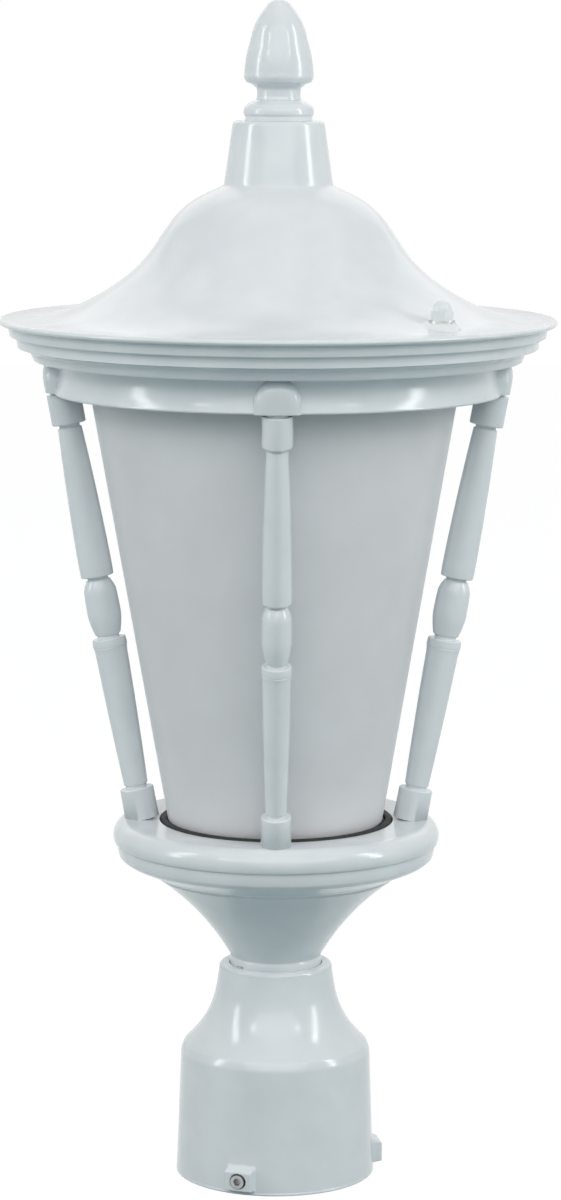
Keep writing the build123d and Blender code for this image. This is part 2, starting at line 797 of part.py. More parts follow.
# ---- nipple, nuts and lamp holder ------------------------------------------------------------
def nipple():
    """Hollow threaded rod that clamps fitter, pedestal and lamp holder together."""
    return tube(nipple_r, nipple_bore_r, nipple_z, nipple_z + nipple_length)


def locknut(low):
    """Thin hexagon nut on the nipple."""
    nut = hexagon(locknut_flats, low, low + locknut_height)
    return nut - rod(nipple_r + thread_fit, low - 1, low + locknut_height + 1)


def lock_washer(low):
    """Washer on the nipple."""
    return tube(lock_washer_r, nipple_r + bolt_play, low, low + lock_washer_thickness)


def socket_bracket():
    """Steel strap with turned down ears; the lamp holder is screwed to it."""
    strap = extrude(SlotOverall(bracket_length, bracket_width), bracket_thickness)
    strap = Pos(0, 0, bracket_z) * strap
    for side in (-1, 1):
        ear = Box(bracket_thickness, bracket_width * 0.6, bracket_ear)
        x = side * (bracket_length / 2 - bracket_thickness / 2)
        strap += Pos(x, 0, porcelain_z - bracket_ear / 2) * ear
        strap -= Pos(side * holder_screw_offset, 0, 0) * rod(
            holder_screw_r + thread_fit, bracket_z - 1, porcelain_z + 1
        )
    strap -= rod(nipple_r + bolt_play, bracket_z - 1, porcelain_z + 1)
    return strap - at_ear() * rod(earth_screw_r + thread_fit, -bracket_thickness - 1, 1)


def at_ear():
    """Frame on the outer face of the bracket's right ear, Z pointing away from it."""
    return Pos(bracket_length / 2, 0, porcelain_z - bracket_ear / 2) * Rot(Y=90)


def earth_screw():
    """Earth terminal screw in the bracket's ear."""
    return at_ear() * pan_screw(earth_screw_r, bracket_thickness + 2.0, 3.2, 2.0)


def socket_body():
    """Porcelain lamp holder: waisted foot, wide rim, bore for the screw shell, wiring recess."""
    top = porcelain_z + porcelain_height
    body = turned(
        (0, porcelain_z),
        (porcelain_foot_r + 1, porcelain_z),
        (porcelain_foot_r + 2, porcelain_z + 1, -0.3),
        (porcelain_foot_r + 2, porcelain_z + 9),
        (porcelain_r - 0.5, porcelain_z + porcelain_waist_height, 0.6),
        (porcelain_r, top - 2),
        (porcelain_r - 2, top, -0.6),
        (0, top),
    )
    seat = top - shell_height
    body -= rod(shell_r + running_gap, seat, top + 1)
    body -= rod(porcelain_base_bore_r, porcelain_z - 1, porcelain_z + porcelain_base_depth)
    tapped = rod(holder_screw_r + thread_fit, porcelain_z - 1, porcelain_z + 8)
    terminal = rod(terminal_screw_r + thread_fit, porcelain_z, porcelain_z + porcelain_base_depth + 3)
    for side in (-1, 1):
        body -= Pos(side * holder_screw_offset, 0, 0) * tapped
        body -= Pos(0, side * terminal_offset, 0) * terminal
    return body


def screw_shell():
    """Thin threaded shell of the lamp holder, with a floor that stands on the porcelain."""
    top = porcelain_z + porcelain_height - 1.0
    seat = porcelain_z + porcelain_height - shell_height
    inner = shell_r - shell_wall
    return turned(
        (contact_width, seat),
        (shell_r, seat),
        (shell_r, top),
        (inner, top),
        (inner, seat + shell_wall),
        (contact_width, seat + shell_wall),
    )


def centre_contact():
    """Sprung brass tongue under the lamp's tip."""
    seat = porcelain_z + porcelain_height - shell_height
    tongue = Pos(0, 0, seat + 0.4) * Box(contact_width * 1.5, contact_width * 0.7, 0.8)
    return tongue + rod(2.4, seat, seat + 1.6)


def terminal_screws():
    """Two terminal screws in the wiring recess under the lamp holder."""
    screw = pan_screw(terminal_screw_r, 2.0, 3.0, 1.6)
    seat = porcelain_z + porcelain_base_depth
    return [Pos(0, side * terminal_offset, seat) * Rot(X=180) * screw for side in (-1, 1)]


def holder_screws():
    """Two screws that hold the lamp holder on its bracket, heads below."""
    screw = pan_screw(holder_screw_r, bracket_thickness + 7.0, 3.3, 2.2)
    return [Pos(side * holder_screw_offset, 0, bracket_z) * Rot(X=180) * screw for side in (-1, 1)]


# ---- lamp ------------------------------------------------------------------------------------
lamp_z = porcelain_z + porcelain_height - shell_height + 1.6 + running_gap   # the tip's lowest point
lamp_cap_z = lamp_z + lamp_tip_height


def lamp_cap():
    """Screw cap of the lamp."""
    return turned(
        (lamp_tip_r + 1.5, lamp_cap_z + 1.0),
        (lamp_cap_r - 1.5, lamp_cap_z + 2.5),
        (lamp_cap_r, lamp_cap_z + 4.5),
        (lamp_cap_r, lamp_cap_z + lamp_cap_height),
        (lamp_cap_r - 1, lamp_cap_z + lamp_cap_height),
        (lamp_cap_r - 1, lamp_cap_z + 5),
        (lamp_tip_r + 1.5, lamp_cap_z + 3.5),
    )


def lamp_tip():
    """Solder tip in its insulating disc."""
    disc_r = lamp_tip_r + 1.5
    return turned(
        (0, lamp_z),
        (lamp_tip_r * 0.6, lamp_z + 0.2, -0.1),
        (lamp_tip_r, lamp_cap_z),
        (disc_r - 0.1, lamp_cap_z + 1.0),
        (disc_r - 0.1, lamp_cap_z + 3.3),
        (0, lamp_cap_z + 3.3),
    )


def lamp_glass():
    """Frosted envelope of the lamp: neck, shoulder and round crown."""
    low = lamp_cap_z + lamp_cap_height
    wide = low + lamp_bulb_z
    top = low + lamp_glass_height
    wall = lamp_glass_wall
    skin = turned((0, low), (lamp_neck_r, low), (lamp_bulb_r, wide, 2.2), crown(lamp_bulb_r, wide, top))
    inner_r = lamp_bulb_r - wall
    inner_neck_r = lamp_neck_r - wall
    return skin - turned((0, low), (inner_neck_r, low), (inner_r, wide, 2.2), crown(inner_r, wide, top - wall))


# ---- write one file for each sub-part --------------------------------------------------------
def as_one(shapes):
    """Group of separate solids."""
    return Compound(children=[shape for shape in shapes])


parts = {
    "fitter": fitter(),
    "locating_pin": around(pin_azimuth, pin()),
    "pedestal": pedestal(),
    "tray": tray(),
    "flange_screws": as_one(flange_screws()),
    "lens_gasket": lens_gasket(),
    "lens": lens(),
    "foot_screws": as_one(foot_screws()),
    "head_screws": as_one(head_screws()),
    "cornice": cornice(),
    "roof_studs": as_one(studs()),
    "roof": roof(),
    "roof_gasket": roof_gasket(),
    "finial_stud": finial_stud(),
    "finial_washer": finial_washer(),
    "finial_nut": finial_nut(),
    "finial_collar": finial_collar(),
    "finial": finial(),
    "nipple": nipple(),
    "fitter_washer": lock_washer(crown_z - lock_washer_thickness),
    "fitter_locknut": locknut(crown_z - lock_washer_thickness - locknut_height),
    "pedestal_washer": lock_washer(pedestal_z + pedestal_floor),
    "pedestal_locknut": locknut(pedestal_z + pedestal_floor + lock_washer_thickness),
    "bracket_locknut": locknut(bracket_z - locknut_height),
    "holder_locknut": locknut(porcelain_z),
    "socket_bracket": socket_bracket(),
    "earth_screw": earth_screw(),
    "holder_screws": as_one(holder_screws()),
    "socket_body": socket_body(),
    "screw_shell": screw_shell(),
    "centre_contact": centre_contact(),
    "terminal_screws": as_one(terminal_screws()),
    "lamp_cap": lamp_cap(),
    "lamp_tip": lamp_tip(),
    "lamp_glass": lamp_glass(),
}
for name, azimuth in spindle_azimuths.items():
    parts["spindle_" + name] = around(azimuth, spindle())
for name, azimuth in boss_azimuths.items():
    parts["set_screw_" + name] = around(azimuth, set_screw())
for name, azimuth in cap_azimuths.items():
    parts["cap_washer_" + name] = around(azimuth, cap_washer())
    parts["cap_nut_" + name] = around(azimuth, cap_nut())

os.makedirs("parts", exist_ok=True)
for name, shape in parts.items():
    export_step(shape, "parts/" + name + ".step")
    print(name)
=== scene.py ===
import bmesh
import bpy
import json
import numpy as np
from math import atan2, cos, hypot, pi, radians, sin
from mathutils import Matrix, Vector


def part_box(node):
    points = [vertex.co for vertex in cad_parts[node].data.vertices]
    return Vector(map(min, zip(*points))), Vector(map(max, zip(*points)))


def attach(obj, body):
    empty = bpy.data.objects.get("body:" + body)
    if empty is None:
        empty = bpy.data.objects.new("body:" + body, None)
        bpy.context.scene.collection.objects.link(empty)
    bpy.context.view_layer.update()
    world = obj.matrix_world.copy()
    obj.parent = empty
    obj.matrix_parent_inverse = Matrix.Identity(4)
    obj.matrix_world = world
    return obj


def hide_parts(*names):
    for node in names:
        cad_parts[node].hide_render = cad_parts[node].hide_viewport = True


# Post top lantern in white stove enamelled cast aluminium with a satin acrylic diffuser.
# Lengths are millimetres until a mesh is made, where they become metres. The front faces -Y,
# and azimuths are degrees from the front, positive towards +X.

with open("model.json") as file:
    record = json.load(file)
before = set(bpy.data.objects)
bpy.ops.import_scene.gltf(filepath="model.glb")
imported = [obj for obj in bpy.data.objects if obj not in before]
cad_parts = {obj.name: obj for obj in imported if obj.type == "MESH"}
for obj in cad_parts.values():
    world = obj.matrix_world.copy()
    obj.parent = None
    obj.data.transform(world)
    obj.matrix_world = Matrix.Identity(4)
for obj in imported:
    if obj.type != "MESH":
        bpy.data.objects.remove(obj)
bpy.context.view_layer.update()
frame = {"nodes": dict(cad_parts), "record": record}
MM = 0.001


def top_of(node):
    """Height in mm of a CAD node's highest point."""
    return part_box(node)[1][2] / MM


def foot_of(node):
    """Height in mm of a CAD node's lowest point."""
    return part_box(node)[0][2] / MM


# ---- levels, read from the frame --------------------------------------------------------------
FITTER_TOP = top_of("fitter")
PEDESTAL_Z = foot_of("pedestal")
TRAY_Z = foot_of("tray")
TRAY_TOP = top_of("tray")
LENS_Z = foot_of("lens")
LENS_TOP = top_of("lens")
DECK_TOP = foot_of("roof")
CHIMNEY_TOP = foot_of("finial_collar")
FINIAL_Z = top_of("finial_collar")
FINIAL_TOP = top_of("finial")

# ---- camera -----------------------------------------------------------------------------------
CAMERA_TILT = 8.5          # degrees down
CAMERA_DISTANCE = 1636.0   # to the axis point in the middle of the picture
CAMERA_AIM_Z = 249.2       # height of that point
CAMERA_SIDE = 1.5          # the camera stands this far right of the axis
CAMERA_LENS = 115.5
CAMERA_SENSOR = 36         # the picture's long side on the sensor
CAMERA_ROLL = 0.22         # degrees, which moves the lantern's top to the right

# ---- spindles ---------------------------------------------------------------------------------
SPINDLE_AZIMUTHS = {"front": 0.0, "right": 90.0, "back": 180.0, "left": 270.0}
SPINDLE_FOOT_R = 57.4      # from the lantern's axis to the spindle's at the tray's top
SPINDLE_HEAD_R = 90.4      # and at the spindle's head
SPINDLE_RISE = 182.5       # from the one to the other
SPINDLE_LENGTH = hypot(SPINDLE_HEAD_R - SPINDLE_FOOT_R, SPINDLE_RISE)
SPINDLE_LEAN = atan2(SPINDLE_HEAD_R - SPINDLE_FOOT_R, SPINDLE_RISE)
SPINDLE_OVAL = 0.87        # width across the radius over depth along it
COLLAR_LENGTH = 13.4
NECK_GAP = 1.3             # length of each thin neck between two turned forms
LOWER_VASE = 64.6
BEAD_LENGTH = 24.2

# ---- holes that two pieces share --------------------------------------------------------------
FINIAL_STUD_HOLE_R = 4.4
WIRE_WAY_R = 34.5          # through the tray's floor and the pedestal's flange
NIPPLE_HOLE_R = 5.2
POST_BORE_R = 38.55


# ---- surfaces ---------------------------------------------------------------------------------
def add_mesh(name, points, faces):
    """Object at the origin with this mesh: points in mm as (n, 3), faces as index lists."""
    mesh = bpy.data.meshes.new(name)
    mesh.from_pydata((np.asarray(points) * MM).tolist(), [], faces)
    mesh.validate()
    mesh.shade_smooth()
    piece = bpy.data.objects.new(name, mesh)
    bpy.context.scene.collection.objects.link(piece)
    return piece


def welded(piece):
    """Merges points within 0.02 mm, drops faces without area and turns the rest outwards."""
    work = bmesh.new()
    work.from_mesh(piece.data)
    bmesh.ops.remove_doubles(work, verts=work.verts, dist=0.02 * MM)
    bmesh.ops.dissolve_degenerate(work, edges=work.edges, dist=0.005 * MM)
    bmesh.ops.recalc_face_normals(work, faces=work.faces)
    work.to_mesh(piece.data)
    work.free()
    return piece


def grid_faces(rows, columns):
    """Quads of a grid whose columns close on themselves. Rows run up and columns run
    counter-clockwise, which turns the faces outwards."""
    row, column = np.meshgrid(np.arange(rows - 1), np.arange(columns), indexing="ij")
    here = row * columns + column
    right = row * columns + (column + 1) % columns
    return np.stack([here, right, right + columns, here + columns], axis=-1).reshape(-1, 4)


def run_points(start, end, bow, low, high, step=1.6):
    """Points from share low to share high of a run. A bowed run is the parabola that leaves the
    straight line by bow at its middle, to the left of its travel."""
    start, end = np.array(start, float), np.array(end, float)
    way = end - start
    length = hypot(*way)
    count = max(2, int(length * (high - low) / step) + 1) if bow else 2
    share = np.linspace(low, high, count)[:, None]
    left = np.array([-way[1], way[0]]) / length
    return start + way * share + left * bow * 4 * share * (1 - share)


def chain(*corners, closed=True):
    """Polyline in (r, z) through corners (r, z, rounding, bow). A corner is rounded by the
    quadratic curve that starts and ends at its rounding's distance from it; bow bends the run
    that ends at the corner."""
    corners = [tuple(corner) + (0.0,) * (4 - len(corner)) for corner in corners]
    count = len(corners)
    runs = []
    last = count if closed else count - 1
    for index in range(last):
        here, there = corners[index], corners[(index + 1) % count]
        length = hypot(there[0] - here[0], there[1] - here[1])
        open_start = index == 0 and not closed
        open_end = index == last - 1 and not closed
        low = 0.0 if open_start else here[2] / length
        high = 1.0 if open_end else 1 - there[2] / length
        run = run_points(here[:2], there[:2], there[3], low, high)
        runs.append(run)
        if not open_end and there[2]:
            after = corners[(index + 2) % count]
            beyond = hypot(after[0] - there[0], after[1] - there[1])
            leave = run_points(there[:2], after[:2], after[3], there[2] / beyond, 1.0)[0]
            share = np.linspace(0, 1, 8)[1:-1, None]
            corner = np.array(there[:2])
            runs.append(
                run[-1] * (1 - share) ** 2 + corner * 2 * share * (1 - share) + leave * share**2
            )
    line = np.concatenate(runs)
    keep = np.r_[True, np.hypot(*np.diff(line, axis=0).T) > 1e-4]
    return line[keep]


def curve_through(points, start_slope, end_slope, count):
    """Cubic spline through points by chord length, with given end tangents, as count points."""
    points = np.array(points, float)
    knots = np.r_[0, np.cumsum(np.hypot(*np.diff(points, axis=0).T))]
    gaps = np.diff(knots)
    size = len(points)
    matrix = np.zeros((size, size))
    wanted = np.zeros((size, 2))
    matrix[0, 0] = matrix[-1, -1] = 1
    wanted[0] = np.array(start_slope) / hypot(*start_slope)
    wanted[-1] = np.array(end_slope) / hypot(*end_slope)
    for index in range(1, size - 1):
        before, after = gaps[index - 1], gaps[index]
        matrix[index, index - 1:index + 2] = after, 2 * (before + after), before
        rise_before = (points[index] - points[index - 1]) / before
        rise_after = (points[index + 1] - points[index]) / after
        wanted[index] = 3 * (after * rise_before + before * rise_after)
    slopes = np.linalg.solve(matrix, wanted)
    at = np.linspace(0, knots[-1], count)
    span = np.clip(np.searchsorted(knots, at, side="right") - 1, 0, size - 2)
    gap = gaps[span]
    share = ((at - knots[span]) / gap)[:, None]
    gap = gap[:, None]
    start, end = points[span], points[span + 1]
    return (
        (2 * share**3 - 3 * share**2 + 1) * start
        + (share**3 - 2 * share**2 + share) * gap * slopes[span]
        + (3 * share**2 - 2 * share**3) * end
        + (share**3 - share**2) * gap * slopes[span + 1]
    )


def turned(name, line, angles=None, columns=240, closed=True, shift=None, place=None):
    """Surface of revolution: each (r, z) of the line goes round Z. A closed line makes a ring; an
    open one starts and ends on the axis at single points. shift(angle, r, z) may move the grid,
    and place(points) may carry it elsewhere."""
    if angles is None:
        angles = np.linspace(0, 2 * pi, columns, endpoint=False)
    ends = line if closed else line[1:-1]
    angle, r = np.meshgrid(angles, ends[:, 0])
    z = np.repeat(ends[:, 1][:, None], len(angles), axis=1)
    if shift:
        r, z = shift(angle, r, z)
    points = np.stack([r * np.cos(angle), r * np.sin(angle), z], axis=-1).reshape(-1, 3)
    faces = grid_faces(len(ends), len(angles)).tolist()
    across = np.arange(len(angles))
    beside = (across + 1) % len(angles)
    top = (len(ends) - 1) * len(angles)
    if closed:
        faces += np.stack([top + across, top + beside, beside, across], axis=-1).tolist()
    else:
        low, high = len(points), len(points) + 1
        points = np.concatenate([points, [[0, 0, line[0][1]], [0, 0, line[-1][1]]]])
        low, high = np.full_like(across, low), np.full_like(across, high)
        faces += np.stack([low, beside, across], axis=-1).tolist()
        faces += np.stack([top + across, top + beside, high], axis=-1).tolist()
    if place:
        points = place(points)
    return add_mesh(name, points, faces)


def about_z(points, azimuth):
    """Points drawn at the front, turned about Z to an azimuth in degrees."""
    c, s = cos(radians(azimuth)), sin(radians(azimuth))
    x, y, z = points.T
    return np.stack([x * c - y * s, x * s + y * c, z], axis=-1)


def on_spindle(points, distance):
    """Points about a local Z axis, set on the front spindle's axis at a distance from its foot."""
    x, y, z = points.T
    z = z + distance
    c, s = cos(SPINDLE_LEAN), sin(SPINDLE_LEAN)
    return np.stack([x, y * c - z * s - SPINDLE_FOOT_R, y * s + z * c + TRAY_TOP], axis=-1)


def dense_near(azimuths, spread=10.0, fine=0.3, coarse=1.6):
    """Grid angles round Z, fine within spread degrees of some azimuths and coarse elsewhere."""
    marks = []
    here = 0.0
    while here < 360.0 - fine / 2:
        marks.append(here)
        near = min(abs((here - azimuth + 180) % 360 - 180) for azimuth in azimuths)
        here += fine if near < spread else coarse
    return np.radians(np.array(marks) - 90.0)


def soft_step(value, width):
    """Smooth step from 0 to 1 as value goes from -width/2 to width/2."""
    share = np.clip(value / width + 0.5, 0, 1)
    return share * share * (3 - 2 * share)


# ---- materials --------------------------------------------------------------------------------
def linear(hex_colour):
    """sRGB hex to linear RGBA."""
    channels = [int(hex_colour[i:i + 2], 16) / 255 for i in (1, 3, 5)]
    return [c / 12.92 if c <= 0.04045 else ((c + 0.055) / 1.055) ** 2.4 for c in channels] + [1.0]


def node(tree, kind, settings=None, **links):
    """Adds a node, sets its values and sockets, and links the named inputs."""
    made = tree.nodes.new(kind)
    for key, value in (settings or {}).items():
        if hasattr(made, key):
            setattr(made, key, value)
        else:
            made.inputs[key].default_value = value
    for key, source in links.items():
        tree.links.new(source, made.inputs[key.replace("_", " ")])
    return made


def surface(name, **settings):
    """New material with a Principled shader, its tree, shader and Object coordinates."""
    material = bpy.data.materials.new(name)
    material.use_nodes = True
    tree = material.node_tree
    shader = tree.nodes["Principled BSDF"]
    for key, value in settings.items():
        shader.inputs[key.replace("_", " ")].default_value = value
    place = node(tree, "ShaderNodeTexCoord").outputs["Object"]
    return material, tree, shader, place


def noise(tree, place, size_mm, detail=1.0):
    """Noise whose features have a real size in mm."""
    settings = {"Scale": 1 / (size_mm * MM), "Detail": detail}
    return node(tree, "ShaderNodeTexNoise", settings, Vector=place).outputs["Fac"]


def mottle(tree, place, size_mm, low, high):
    """Noise of a real size in mm, its middle mapped to a range."""
    settings = {"From Min": 0.3, "From Max": 0.7, "To Min": low, "To Max": high}
    value = noise(tree, place, size_mm, detail=2.0)
    return node(tree, "ShaderNodeMapRange", settings, Value=value).outputs["Result"]


def relief(tree, height, strength, depth_mm, **below):
    """Bump of a real depth in mm, over the normal below it where one is given."""
    settings = {"Strength": strength, "Distance": depth_mm * MM}
    return node(tree, "ShaderNodeBump", settings, Height=height, **below).outputs["Normal"]


def tint(tree, factor, low_hex, high_hex):
    """Mix of two colours by a factor."""
    mix = node(tree, "ShaderNodeMix", {"data_type": "RGBA"})
    mix.inputs[6].default_value = linear(low_hex)
    mix.inputs[7].default_value = linear(high_hex)
    tree.links.new(factor, mix.inputs[0])
    return mix.outputs[2]


def feed(tree, shader, colour, roughness, normal):
    """Links a colour, a roughness and a normal to the shader."""
    for socket, value in (("Base Color", colour), ("Roughness", roughness), ("Normal", normal)):
        tree.links.new(value, shader.inputs[socket])


def stove_enamel():
    """White stove enamel, sprayed and baked on a sand casting: a glossy skin with faint orange
    peel over the casting's soft waves."""
    material, tree, shader, place = surface("white_stove_enamel", IOR=1.46)
    colour = tint(tree, mottle(tree, place, 18, 0, 1), "#DEE4E7", "#E5EAEC")
    peel = relief(tree, noise(tree, place, 1.6), 0.12, 0.06)
    waves = relief(tree, noise(tree, place, 14), 0.25, 0.2, Normal=peel)
    feed(tree, shader, colour, mottle(tree, place, 9, 0.15, 0.21), waves)
    return material


def satin_acrylic():
    """Opal acrylic with a blasted outer face: milky and even, with a wide soft sheen."""
    material, tree, shader, place = surface(
        "satin_opal_acrylic",
        IOR=1.49,
        Subsurface_Weight=0.25,
        Subsurface_Scale=6 * MM,
        Subsurface_Radius=(1.0, 1.0, 1.0),
    )
    colour = tint(tree, mottle(tree, place, 30, 0, 1), "#DEDFE1", "#E4E5E7")
    blast = relief(tree, noise(tree, place, 0.5), 0.1, 0.02)
    feed(tree, shader, colour, mottle(tree, place, 6, 0.42, 0.5), blast)
    return material


def plain_finish(name, hexes, roughness, grain_mm, metallic=0.0, depth_mm=0.04):
    """Even finish: its colour and its roughness each vary between two values, over a fine grain."""
    material, tree, shader, place = surface(name, Metallic=metallic)
    colour = tint(tree, mottle(tree, place, grain_mm * 8, 0, 1), *hexes)
    grain = relief(tree, noise(tree, place, grain_mm, detail=3.0), 0.2, depth_mm)
    feed(tree, shader, colour, mottle(tree, place, grain_mm * 4, *roughness), grain)
    return material


ENAMEL = stove_enamel()
ACRYLIC = satin_acrylic()
# moulded rubber: near black with a dull bloom
BLACK_RUBBER = plain_finish("moulded_black_rubber", ("#0D0E0F", "#151617"), (0.62, 0.75), 0.8)
# closed cell silicone foam: chalky white, no shine
WHITE_FOAM = plain_finish("silicone_foam", ("#D6D7D3", "#E2E2DE"), (0.8, 0.95), 0.6, depth_mm=0.2)
# bright zinc plate on turned steel: cool grey, slightly uneven
ZINC_PLATE = plain_finish(
    "zinc_plated_steel", ("#B9BBBA", "#CFD0CE"), (0.28, 0.42), 0.5, metallic=1.0
)
# passivated stainless steel of the set screws
STAINLESS = plain_finish("stainless_steel", ("#9A9B9C", "#B2B4B5"), (0.28, 0.4), 0.4, metallic=1.0)
# rolled brass of shell and contacts: warm, a little dull
ROLLED_BRASS = plain_finish("rolled_brass", ("#B9913F", "#CBA551"), (0.25, 0.4), 0.6, metallic=1.0)
# glazed porcelain of the lamp holder: warm white under a clear glaze
PORCELAIN = plain_finish("glazed_porcelain", ("#E8E3D8", "#F0ECE3"), (0.08, 0.16), 2.0)
# drawn aluminium of the lamp's cap
DRAWN_ALUMINIUM = plain_finish(
    "drawn_aluminium", ("#C6C8C9", "#D5D6D6"), (0.22, 0.36), 0.4, metallic=1.0
)
# glass frosted inside: white and silky
FROSTED_GLASS = plain_finish("frosted_glass", ("#EEEEEC", "#F4F4F2"), (0.2, 0.3), 1.5)

NODE_FINISH = {
    "enamel": ENAMEL,
    "diffuser": ACRYLIC,
    "gasket": BLACK_RUBBER,
    "foam": WHITE_FOAM,
    "plated_steel": ZINC_PLATE,
    "set_screw_steel": STAINLESS,
    "porcelain": PORCELAIN,
    "brass": ROLLED_BRASS,
    "lamp_metal": DRAWN_ALUMINIUM,
    "lamp_glass": FROSTED_GLASS,
}


def dress(piece, body, slot, material, *replaced):
    """Gives a new piece its finish and body, and hides the CAD nodes that it stands for."""
    piece.data.materials.clear()
    piece.data.materials.append(material)
    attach(piece, body)
    if replaced:
        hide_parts(*replaced)


def finish_cad_nodes():
    """Every CAD node gets the material of its slot in the record."""
    slots = {part["node"]: part["material_slot"] for part in frame["record"]["subparts"]}
    for name, piece in frame["nodes"].items():
        material = NODE_FINISH[slots[name]]
        if not piece.material_slots:
            piece.data.materials.append(material)
        for slot in piece.material_slots:
            slot.material = material


# ---- roof and finial --------------------------------------------------------------------------
# The bell: (radius, height above the cornice's top) from the brim's trough to the chimney's foot.
ROOF_BELL = (
    (108.0, 2.1),
    (90.0, 5.4),
    (73.0, 13.6),
    (55.3, 28.2),
    (45.1, 42.8),
    (37.4, 50.6),
    (23.0, 58.1),
)
ROOF_WALL = 2.5
BRIM_R = 116.4
BRIM_FOOT_R = 89.2         # the brim lies on the cornice outside this radius
CHIMNEY_TOP_R = 19.1
CHIMNEY_BORE_R = 15.5
CHIMNEY_CAP = 5.0          # thickness of the chimney's closed top
CAP_AZIMUTHS = {"right": 45.0, "left": 225.0}
CAP_R = 93.6               # from the lantern's axis to a cap nut's
CAP_PAD_R = 6.3
CAP_PAD_FILLET = 1.6
CAP_PAD_Z = 6.0            # height of the pads above the cornice's top


def cap_pads(angle, r, z):
    """Lifts the roof's skin at each cap nut to a round level pad with a small fillet."""
    for azimuth in CAP_AZIMUTHS.values():
        centre = radians(azimuth - 90)
        east = r * np.cos(angle) - CAP_R * cos(centre)
        north = r * np.sin(angle) - CAP_R * sin(centre)
        away = np.hypot(east, north)
        level = soft_step(CAP_PAD_R - away, CAP_PAD_FILLET) * (z > DECK_TOP + 1.2)
        z = z + (DECK_TOP + CAP_PAD_Z - z) * level
    return r, z


def roof():
    """Bell roof: brim with an upturned lip, S-shaped bell, tapered chimney, hollow inside."""
    bell = curve_through([(r, DECK_TOP + z) for r, z in ROOF_BELL], (-1, 0), (-1, 0.5), 90)
    inset = (ROOF_WALL * 0.8, ROOF_WALL * 0.75)
    inner = [(r - inset[0], DECK_TOP + z - inset[1]) for r, z in ROOF_BELL]
    inner = curve_through(inner, (-1, 0), (-1, 0.5), 50)[::-1]
    ceiling_r, ceiling_z = 78.6, DECK_TOP + 4.0
    inner = inner[(inner[:, 0] < ceiling_r) & (inner[:, 1] > ceiling_z)]
    brim = chain(
        (BRIM_FOOT_R, ceiling_z),
        (BRIM_FOOT_R, DECK_TOP, 0.4),
        (113.4, DECK_TOP, 0.5),
        (BRIM_R, DECK_TOP + 0.15, 0.6),
        (BRIM_R + 1.25, DECK_TOP + 1.3, 0.9),
        (BRIM_R, DECK_TOP + 2.75, 0.8),
        (112.0, DECK_TOP + 2.0, 1.5),
        (108.6, DECK_TOP + 2.06),
        closed=False,
    )
    crown = chain(
        (23.0, DECK_TOP + 58.1),
        (22.7, DECK_TOP + 59.4, 0.6),
        (CHIMNEY_TOP_R, CHIMNEY_TOP, 1.9),
        (FINIAL_STUD_HOLE_R, CHIMNEY_TOP, 0.2),
        (FINIAL_STUD_HOLE_R, CHIMNEY_TOP - CHIMNEY_CAP),
        (CHIMNEY_BORE_R, CHIMNEY_TOP - CHIMNEY_CAP),
        (CHIMNEY_BORE_R, DECK_TOP + 53.5),
        closed=False,
    )
    line = np.concatenate([brim, bell, crown[1:], inner, [(ceiling_r, ceiling_z)]])
    angles = dense_near(CAP_AZIMUTHS.values(), spread=5.0, fine=0.25)
    return turned("roof_casting", line, angles=angles, shift=cap_pads)


def finial_collar():
    """Stepped ring: a thin low step, a full ring, and a bevel up to the finial's neck."""
    low, top = CHIMNEY_TOP, FINIAL_Z
    line = chain(
        (FINIAL_STUD_HOLE_R, low),
        (14.0, low, 0.3),
        (14.1, low + 1.9, 0.3),
        (14.75, low + 2.6, 0.5),
        (14.7, low + 5.0, 1.2),
        (13.2, low + 6.9, 0.8),
        (10.0, top, 0.3),
        (FINIAL_STUD_HOLE_R, top),
    )
    return welded(turned("finial_ring", line, columns=160))


def finial():
    """Acorn finial: waisted neck, lip under the acorn, long swelling taper to a blunt tip."""
    low, top = FINIAL_Z, FINIAL_TOP
    line = chain(
        (0, low),
        (9.5, low, 0.3),
        (9.1, low + 1.4, 0.6),
        (9.1, low + 4.6, 0.7),
        (13.5, low + 7.2, 0.6, 0.5),
        (14.65, low + 9.3, 0.8),
        (14.4, low + 11.5, 0.5),
        (12.0, low + 24.2, 4.0, -0.5),
        (5.8, low + 37.9, 2.0, -1.1),
        (0, top, 0, -1.1),
        closed=False,
    )
    return turned("finial_acorn", line, columns=160, closed=False)


# ---- cornice and knuckles ---------------------------------------------------------------------
CORNICE_HEIGHT = 28.9
CORNICE_BORE_R = 85.2
FRIEZE_R = 94.3
FRIEZE_HOLLOW_R = 92.2
FRIEZE_WALL = 3.9
FRIEZE_HEIGHT = 14.2
KNUCKLE_R = 9.75           # half its width, and the round of its top
KNUCKLE_FOOT = -4.0        # below the spindle's head, before the foot is cut level
KNUCKLE_STRAIGHT = 5.0     # height where its round top begins
KNUCKLE_FACE = 7.3         # from the spindle's axis out to the knuckle's face
KNUCKLE_DEPTH = 6.9        # over which its edges round off
KNUCKLE_BACK = 4.0         # from the spindle's axis in to the knuckle's back


